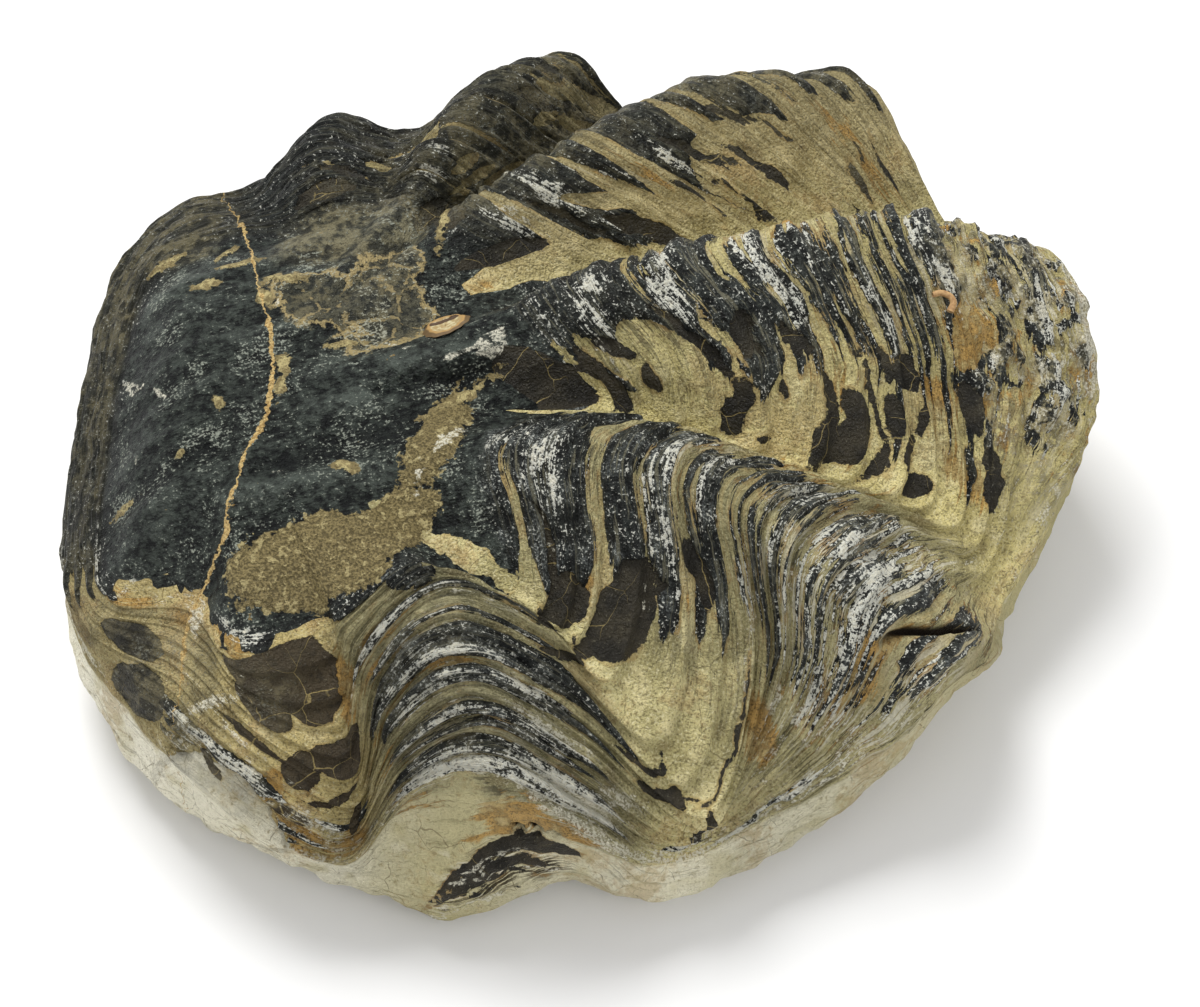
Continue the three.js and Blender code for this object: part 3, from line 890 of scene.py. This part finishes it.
stone = Finish("fossil_stone")
mark, step, mix, coated, added, times = (
    stone.mark, stone.step, stone.mix, stone.coated, stone.added, stone.times,
)
layer, reach_here, split, south_west = mark("layer"), mark("reach"), mark("laminae"), mark("south_west")
broad, middle, small = mark("broad_cloud"), mark("middle_cloud"), mark("small_cloud")
ragged = stone.noise(1.6, 3, 0.62)
grain = stone.noise(0.5, 2, 0.6)
side_here = stone.calc("MAXIMUM", added(-0.4, (reach_here, 0.4)), 0)
streak = stone.streaks(added(layer, (side_here, 1)), 14, 110, 4)
off_ragged, off_streak = added(-0.5, (ragged, 1)), added(-0.5, (streak, 1))
layer_here = added(layer, (off_ragged, 0.012))
crumbly = added(small, (off_ragged, 2.5))
spotty = added(small, (middle, 1))

# how deep inside a dark sheet or pool each spot is, in shares of growth
region_shares = {name: mark(name) for name in REGION_EDGES}
north_left = added(1, *((share, -1) for share in region_shares.values()))
region_shares["north"] = north_left
ladders = [
    (stone.curve(layer_here, depth_points(LAYERS[name]), DEPTH_LIMIT), share)
    for name, share in region_shares.items()
]
split_sheets = added(0, *ladders, (mark("mud"), -1), (off_streak, split))
sheet_depth = stone.calc("MINIMUM", split_sheets, added(0, (mark("silt"), -1), (off_ragged, -0.02)))
pool_depth = added(mark("pool"), (off_ragged, 0.018), (off_streak, 0.008))
dark_depth = stone.calc("MAXIMUM", sheet_depth, pool_depth)
is_dark = step(dark_depth, -0.001, 0.001)
is_pool = step(pool_depth, -0.0012, 0.0012)
is_disc = step(added(reach_here, (middle, 0.06)), -0.02, -0.1)

# how far each spot is from the nearest of a net of fine cracks
CRACK_SPACING = 9
CRACK_BEND_SIZE = 6
CRACK_BEND = 3
bend_values = {"Vector": stone.place, "Scale": 1 / CRACK_BEND_SIZE, "Detail": 2}
bend = stone.node("ShaderNodeTexNoise", bend_values).outputs[1]
bent_values = {0: bend, 1: (CRACK_BEND,) * 3, 2: stone.place}
bent = stone.node("ShaderNodeVectorMath", bent_values, operation="MULTIPLY_ADD").outputs[0]
net_values = {"Vector": bent, "Scale": 1 / CRACK_SPACING}
from_crack = stone.node("ShaderNodeTexVoronoi", net_values, feature="DISTANCE_TO_EDGE").outputs[0]

# olive limestone with a sandy grain, fine cracks and thin dark and pale laminae
warm = mix(step(broad, -0.5, 0.5), (200, 186, 124), (234, 220, 154))
grey = mix(step(broad, -0.5, 0.5), (136, 132, 99), (186, 179, 136))
tan_share = added(step(added(broad, (off_ragged, 2)), 0.1, 0.6, 0, 0.5), (north_left, 0.35))
mud_crack = added(from_crack, (off_ragged, 0.03), (middle, 0.012))
laminated = times(step(split, 0.005, 0.03), step(split, 0.03, 0.09, 0.4, 1.0))
worn = step(added(mark("chalk"), (middle, 0.01)), -0.03, 0.005)
olive = coated(
    mix(mark("grey_mud"), warm, grey),
    (spotty, 0.0, 0.9, 0.7, (230, 217, 164)), (spotty, -0.3, -1.0, 0.6, (136, 120, 82)),
)
olive = coated(
    mix(tan_share, olive, (192, 162, 108)),
    (ragged, 0.5, 0.66, 0.4, (116, 106, 70)), (grain, 0.53, 0.68, 0.65, (92, 84, 56)),
    (grain, 0.47, 0.32, 0.55, (228, 220, 178)), (mud_crack, 0.006, 0.0, 0.55, (84, 74, 48)),
)
olive = coated(
    mix(times(laminated, 0.4), olive, (138, 132, 98)),
    (streak, 0.53, 0.56, 0.8, (44, 42, 33), laminated),
    (streak, 0.45, 0.42, 0.65, mix(worn, (170, 154, 106), (222, 218, 200)), laminated),
)

# the side below the margin: paler limestone, cream on the west, in sheets round the lower valve's fold
is_below = step(added(reach_here, (broad, 0.06)), 1.02, 1.1)
nest_here = mark("nest")
pale = coated(
    mix(mark("paleness"), (186, 176, 124), (255, 250, 228)),
    (middle, 0.0, 0.7, 0.5, (194, 184, 134)), (small, 0.3, 0.8, 0.5, (240, 234, 208)),
    (added(broad, (off_ragged, 2.5)), 0.1, 0.8, 0.55, (188, 164, 116)),
    (ragged, 0.6, 0.7, 0.5, (146, 136, 98)), (grain, 0.55, 0.68, 0.4, (164, 154, 116)),
    (mud_crack, 0.006, 0.0, 0.6, (112, 100, 70)), (streak, 0.55, 0.62, 0.4, (120, 112, 78)),
    (streak, 0.49, 0.54, 1, (70, 62, 44), nest_here), (streak, 0.45, 0.42, 1, (228, 222, 200), nest_here),
)
colour = mix(is_below, olive, pale)

# gold along the joint beside a dark sheet or pool
gold = mix(laminated, (182, 160, 104), (142, 110, 66))
colour = coated(colour, (dark_depth, -0.008, -0.002, 1, gold, step(spotty, -0.3, 0.6, 0, 0.75)))

# rust that has soaked along the sheets
rust_depth = added(mark("rust"), (middle, 0.012), (off_streak, 0.2))
rusty = coated(
    (190, 148, 78), (added(small, (off_ragged, 2)), -0.4, 0.5, 1, (122, 94, 50)),
    (grain, 0.52, 0.64, 0.7, (80, 62, 38)), (crumbly, 0.1, 0.6, 0.7, (204, 178, 118)),
)
colour = coated(colour, (rust_depth, -0.006, 0.012, 0.8, rusty))

# dark sheets: black at the joints, charcoal with a painted blue-grey sheen on the crests, worn to chalk
southern = added(region_shares["south"], (region_shares["south_east"], 1))
# painted highlight: a blue-grey sheen on the sheets' crests, brighter on the southern ridges
crest_sheen_colour = mix(southern, mix(north_left, (104, 110, 104), (56, 60, 58)), (166, 172, 168))
crest_sheen = times(step(small, -0.3, 0.7, 0, 0.5), step(grain, 0.42, 0.62, 0.1, 1.0))
chalk_streak = added(0.18, (is_disc, -0.15))
chalk_place = added(mark("chalk"), (off_streak, chalk_streak), (middle, 0.012), (off_ragged, 0.05))
chalk_share = step(chalk_place, -0.008, 0.014, 0, 0.2)
chalk_grain = added(
    grain, (off_ragged, 0.5), (off_streak, 0.35), (chalk_share, 1), (small, 0.03), (north_left, -0.03),
)
sheet = coated(
    (20, 22, 21), (ragged, 0.38, 0.62, 1, (50, 54, 51)),
    (sheet_depth, 0.002, 0.01, 1, crest_sheen_colour, crest_sheen), (streak, 0.53, 0.57, 0.8, (14, 15, 14)),
    (streak, 0.45, 0.42, 0.6, (140, 136, 112), laminated), (chalk_grain, 0.6, 0.74, 1, (218, 218, 206)),
)

# pools: smooth brown-black, split by fine cracks that healed with gold
crack_width = added(step(broad, -0.5, 0.6, -0.006, 0.008), (south_west, 0.005))
pool_ground = mix(step(middle, -0.5, 0.6), (34, 32, 27), (58, 53, 41))
pool_colour = coated(
    mix(times(south_west, 0.35), pool_ground, (92, 78, 56)),
    (ragged, 0.5, 0.66, 0.5, (30, 28, 23)), (grain, 0.62, 0.74, 0.5, (120, 116, 96)),
    (added(from_crack, (crack_width, -1)), 0.004, -0.004, 0.7, (166, 148, 96)),
)

# the disc: blue-black, with painted highlights on the crests of its low waves and painted shade in
# their troughs, white flecks and ochre crumbs
SCRATCH_HEADING = math.radians(16)
SCRATCH_SIZES = (1.7, 0.5, 0.6)
along_rolls = {"Vector": stone.place, "Rotation": (0, 0, SCRATCH_HEADING), "Scale": SCRATCH_SIZES}
rolled_place = stone.node("ShaderNodeMapping", along_rolls, vector_type="TEXTURE").outputs[0]
scratch_values = {"Vector": rolled_place, "Scale": 1, "Detail": 2, "Roughness": 0.6}
scratch = added(-0.5, (stone.node("ShaderNodeTexNoise", scratch_values).outputs[0], 1))
disc_ground = added(0, (small, 0.08), (off_ragged, 0.7), (scratch, 0.4))
# painted light and shade on the low waves: lighter in blotches on their crests, darker in their troughs
roll_shading = added(mark("roll"), (middle, 0.5))
fleck_from = step(middle, -0.4, 0.8, 0.68, 0.48)
flecks = (added(grain, (off_ragged, 0.3), (scratch, 0.6), (fleck_from, -1)), 0, 0.14)
disc = coated(
    (8, 11, 11), (disc_ground, -0.12, 0.14, 1, (61, 67, 61)),
    (roll_shading, -0.1, 1.3, 0.7, (86, 93, 86), step(crumbly, -0.6, 0.5, 0.2, 1.0)),
    (roll_shading, -0.2, -1.1, 0.7, (12, 15, 15)), (*flecks, 0.75, (162, 167, 153)),
    (added(small, (off_ragged, 1.5)), 0.86, 0.93, 0.9, (134, 114, 72)),
)
is_bare_disc = times(is_disc, added(1, (is_pool, -1)))
dark_colour = mix(is_bare_disc, mix(is_pool, sheet, pool_colour), disc)
colour = mix(is_dark, colour, dark_colour)

# brown-grey weathering on the far crests and rubble at the east end
weathering = coated(
    (58, 57, 46), (crumbly, -0.4, 0.5, 1, (146, 137, 104)), (grain, 0.54, 0.64, 0.6, (40, 39, 31)),
    (*flecks, 0.6, (170, 172, 156)),
)
colour = mix(times(mark("weathered"), 0.8), colour, weathering)
rubble = coated(
    (66, 63, 50), (crumbly, -0.4, 0.5, 1, (178, 166, 124)), (grain, 0.53, 0.64, 0.6, (204, 200, 182)),
    (streak, 0.54, 0.58, 0.6, (44, 42, 34)),
)
colour = coated(colour, (added(middle, (off_ragged, 3)), -0.1, 0.3, 0.7, rubble, mark("rubble")))

# what lies on the disc: brown sandstone, a crust netted with gold, cream spots and the ochre vein
sand_depth = added(mark("sand"), (off_ragged, 5))
sand_colour = coated(
    (90, 80, 52), (grain, 0.38, 0.62, 1, (138, 124, 84)), (ragged, 0.56, 0.64, 0.7, (186, 172, 124)),
)
crust_depth = added(mark("crust"), (off_ragged, 5), (small, 1.5))
crust_edge = stone.calc("ABSOLUTE", added(crust_depth, (step(broad, -0.5, 0.5, -1.6, -0.7), 1)))
net = added(from_crack, (off_ragged, 0.3), (middle, -0.04))
crust_colour = coated(
    (44, 46, 40), (ragged, 0.4, 0.6, 1, (84, 82, 66)),
    (added(small, (off_ragged, 2)), -0.1, 0.5, 0.6, (118, 110, 82)), (grain, 0.52, 0.62, 0.6, (44, 42, 34)),
    (net, 0.03, 0.005, 0.75, (162, 146, 104)), (crust_edge, 0.7, 0.25, 0.9, (172, 154, 108)),
    (*flecks, 0.75, (180, 180, 160)),
)
cream_depth = added(mark("cream"), (off_ragged, 3))
cream_colour = coated(
    (186, 172, 122), (ragged, 0.42, 0.58, 1, (134, 120, 82)), (grain, 0.53, 0.64, 0.6, (98, 86, 56)),
)
vein_side = stone.calc("ABSOLUTE", added(mark("vein"), (small, 0.5), (off_ragged, 2)))
vein_width = step(middle, -0.6, 0.6, 0.08, 0.45)
vein_colour = mix(step(grain, 0.45, 0.6), (206, 180, 122), (170, 138, 84))
colour = coated(
    colour,
    (sand_depth, -0.1, 0.25, 1, sand_colour), (crust_depth, -0.2, 0.4, 0.9, crust_colour),
    (cream_depth, -0.1, 0.2, 1, cream_colour),
    (added(vein_side, (vein_width, -1)), 0.1, -0.05, 1, vein_colour),
)

# chalk worn bare is white all through, and open cracks are painted dark as shade
bare_chalk = added(chalk_place, (off_ragged, 0.08), (small, 0.008))
colour = coated(
    colour,
    (bare_chalk, 0.014, 0.03, 1, (224, 220, 200), step(grain, 0.58, 0.46, 0.15, 0.85)),
    (mark("slit"), 0.0, 0.004, 1, (34, 26, 16)),
)
stone.feed(stone.skin.inputs["Base Color"], colour)
dullness = step(added(is_dark, (off_ragged, 0.8)), 0.1, 0.9, 0.86, 0.46)
stone.feed(stone.skin.inputs["Roughness"], dullness)
stone.skin.inputs["Specular IOR Level"].default_value = 0.2

GRAIN_RELIEF = 1.5 * MM
groove_depth = times(step(split, 0.0, 0.04, 0.3, 1.2), added(1, (is_pool, -0.75)))
rough_height = added(0, (grain, 0.6), (streak, groove_depth), (ragged, 0.9))
bump = stone.node("ShaderNodeBump", {"Strength": 1.0, "Distance": GRAIN_RELIEF, "Height": rough_height})
stone.feed(stone.skin.inputs["Normal"], bump.outputs[0])

body = new_piece("fossil_body", body_mesh, stone.material)
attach(body, "root")
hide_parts("fossil_oyster")


# ---- The young shell -------------------------------------------------------------------------------
# A young oyster that settled on the smooth disc by the hinge and was cemented there. Only its cup is
# left: a thin oval dish of cream calcite with an upturned orange rim, with painted brown shade inside
# under the raised north rim.

YOUNG_PLACE = (-27, 4)
YOUNG_HALF_LENGTH = 3.5
YOUNG_HALF_WIDTH = 2.9
YOUNG_HEADING = math.radians(14)
YOUNG_LIFT = 0.7
YOUNG_FLOOR = 0.25
YOUNG_RIM = 1.1
YOUNG_SKIRT = 1.35  # how far out the outside runs under the surface, in shares of the rim's distance
SKIRT_SLOPE = 3.6
YOUNG_ROWS = 26
YOUNG_COLUMNS = 90
LEAN_REACH = 4  # how far to each side the slope under the young shell is taken

top_points = surface[reach[:, 0] < 1].reshape(-1, 3)


def height_at(x, y):
    """The height of the shell's upper surface at a place seen from above."""
    return top_points[np.hypot(top_points[:, 0] - x, top_points[:, 1] - y).argmin(), 2]


def ringed_mesh(name, points, ends, marks):
    """A mesh through closed rings of points, with a flat face on the first ring or on both ends."""
    rings = np.arange(points[..., 0].size).reshape(points.shape[:2])
    end_faces = [rings[0, ::-1].tolist(), rings[-1].tolist()]
    return new_mesh(name, (points.reshape(-1, 3) * MM).tolist(), ring_faces(rings) + end_faces[:ends], marks)


young_x, young_y = YOUNG_PLACE
lean_x = height_at(young_x + LEAN_REACH, young_y) - height_at(young_x - LEAN_REACH, young_y)
lean_y = height_at(young_x, young_y + LEAN_REACH) - height_at(young_x, young_y - LEAN_REACH)
around = itertools.product((-2, 0, 2), repeat=2)
young_height = np.median([height_at(young_x + dx, young_y + dy) for dx, dy in around])
out = np.linspace(0.02, YOUNG_SKIRT, YOUNG_ROWS)[:, None]
heading = np.linspace(0, 2 * math.pi, YOUNG_COLUMNS, endpoint=False)[None, :]
ragged_out = out * (1 + 0.06 * np.sin(3 * heading + 1) + 0.03 * np.sin(11 * heading))
along = YOUNG_HALF_LENGTH * ragged_out * np.cos(heading)
across = YOUNG_HALF_WIDTH * ragged_out * np.sin(heading)
east = along * math.cos(YOUNG_HEADING) - across * math.sin(YOUNG_HEADING)
north = along * math.sin(YOUNG_HEADING) + across * math.cos(YOUNG_HEADING)
inside = YOUNG_FLOOR + (YOUNG_RIM - YOUNG_FLOOR) * out**3
cup = np.where(out < 1, inside, YOUNG_RIM * (1 - SKIRT_SLOPE * (out - 1)))
cup = cup * (0.8 + 0.45 * np.sin(heading - 0.3) + 0.06 * np.sin(9 * heading))
lean = (lean_x * east + lean_y * north) / (2 * LEAN_REACH)
young_points = np.stack([young_x + east, young_y + north, young_height + YOUNG_LIFT + lean + cup], axis=-1)
# painted brown shade inside the cup, in a band under the raised north rim
rim_shadow = np.exp(-(((across / YOUNG_HALF_WIDTH - 0.55) / 0.2) ** 2)) * (out < 0.95)
young_marks = {"outward": np.broadcast_to(out, rim_shadow.shape), "rim_shadow": rim_shadow}
young_mesh = ringed_mesh("young_shell", young_points, 1, young_marks)

nacre = Finish("young_shell_calcite")
outward_here = nacre.mark("outward")
blotch = nacre.noise(1.1, 3, 0.6)
# the painted shade under the north rim, made blotchy
rim_shadow_here = nacre.added(nacre.mark("rim_shadow"), (nacre.added(-0.5, (blotch, 1)), 0.8))
calcite = nacre.coated(
    (190, 180, 142), (blotch, 0.42, 0.6, 1, (156, 134, 92)), (outward_here, 0.76, 0.94, 1, (164, 132, 82)),
    (rim_shadow_here, 0.35, 0.65, 1, (74, 56, 38)), (outward_here, 1.04, 1.12, 1, (104, 84, 56)),
)
nacre.feed(nacre.skin.inputs["Base Color"], calcite)
nacre.skin.inputs["Roughness"].default_value = 0.55
nacre.skin.inputs["Specular IOR Level"].default_value = 0.25
nacre_bump = nacre.node("ShaderNodeBump", {"Strength": 0.6, "Distance": 0.4 * MM, "Height": blotch})
nacre.feed(nacre.skin.inputs["Normal"], nacre_bump.outputs[0])
young_shell = new_piece("young_shell", young_mesh, nacre.material)
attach(young_shell, "root")


# ---- The worm tube ---------------------------------------------------------------------------------
# The chalky tube of a worm that lived on the oyster, cemented near the east end: a hook of orange
# calcite, half sunk in the stone, with fine growth rings.

TUBE_RADIUS = 0.72
TUBE_LINE = [(68.8, 15.9), (70.4, 16.4), (72.2, 15.9), (72.9, 14.6), (72.2, 13.0)]
TUBE_SINK = 0.05
TUBE_STEPS = 70
TUBE_SIDES = 18
TUBE_RINGS = 26
RING_HEIGHT = 0.06  # a growth ring's height, as a share of the radius

tube_line = np.array([(x, y, height_at(x, y) + TUBE_RADIUS - TUBE_SINK) for x, y in TUBE_LINE])
tube_line[:, 2] = np.convolve(np.pad(tube_line[:, 2], 1, "edge"), np.ones(3) / 3, "valid")
tube_shares = np.linspace(0, 1, TUBE_STEPS)
spine = along_curve(tube_line[:, None, :], tube_shares)
ahead = np.gradient(spine, axis=0)
ahead /= np.linalg.norm(ahead, axis=2, keepdims=True)
sideways = np.cross(ahead, (0, 0, 1))
sideways /= np.linalg.norm(sideways, axis=2, keepdims=True)
upward = np.cross(sideways, ahead)
tube_radius = TUBE_RADIUS * (0.75 + 0.25 * np.sqrt(tube_shares))
tube_radius *= 1 + RING_HEIGHT * np.sin(TUBE_RINGS * 2 * np.pi * tube_shares)
angles = np.linspace(0, 2 * math.pi, TUBE_SIDES, endpoint=False)[None, :, None]
tube_points = spine + tube_radius[:, None, None] * (np.cos(angles) * sideways + np.sin(angles) * upward)
tube_mesh = ringed_mesh("worm_tube", tube_points, 2, {})

chalky_tube = Finish("worm_tube_calcite")
tube_blotch = chalky_tube.noise(0.9, 3, 0.6)
tube_colour = chalky_tube.coated((184, 148, 100), (tube_blotch, 0.4, 0.62, 1, (158, 120, 78)))
chalky_tube.feed(chalky_tube.skin.inputs["Base Color"], tube_colour)
chalky_tube.skin.inputs["Roughness"].default_value = 0.7
worm_tube = new_piece("worm_tube", tube_mesh, chalky_tube.material)
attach(worm_tube, "root")
